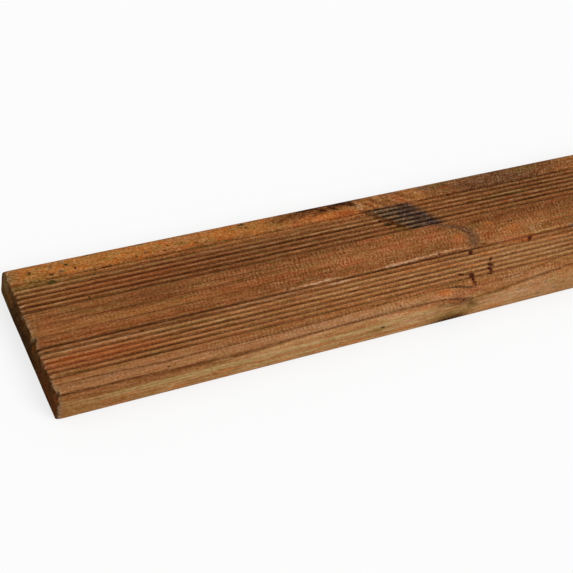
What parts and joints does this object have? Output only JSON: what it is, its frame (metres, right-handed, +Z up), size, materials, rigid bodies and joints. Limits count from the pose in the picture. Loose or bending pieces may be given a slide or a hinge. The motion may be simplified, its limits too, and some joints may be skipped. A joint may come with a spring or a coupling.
{
  "type": "decking board",
  "caption": "Softwood decking board with eased arrises and two bands of rounded grooves along its walking face.",
  "frame": {"origin": "middle of the underside", "axes": "+X along the board away from the end that the picture shows, +Y across it to the back side, +Z up out of the grooved walking face"},
  "size_m": [1.8, 0.145, 0.028],
  "materials": {
    "treated_softwood": "planed, brown pressure-treated pine, matt"
  },
  "bodies": {
    "root": {"decking_board": "treated_softwood"}
  },
  "joints": []
}
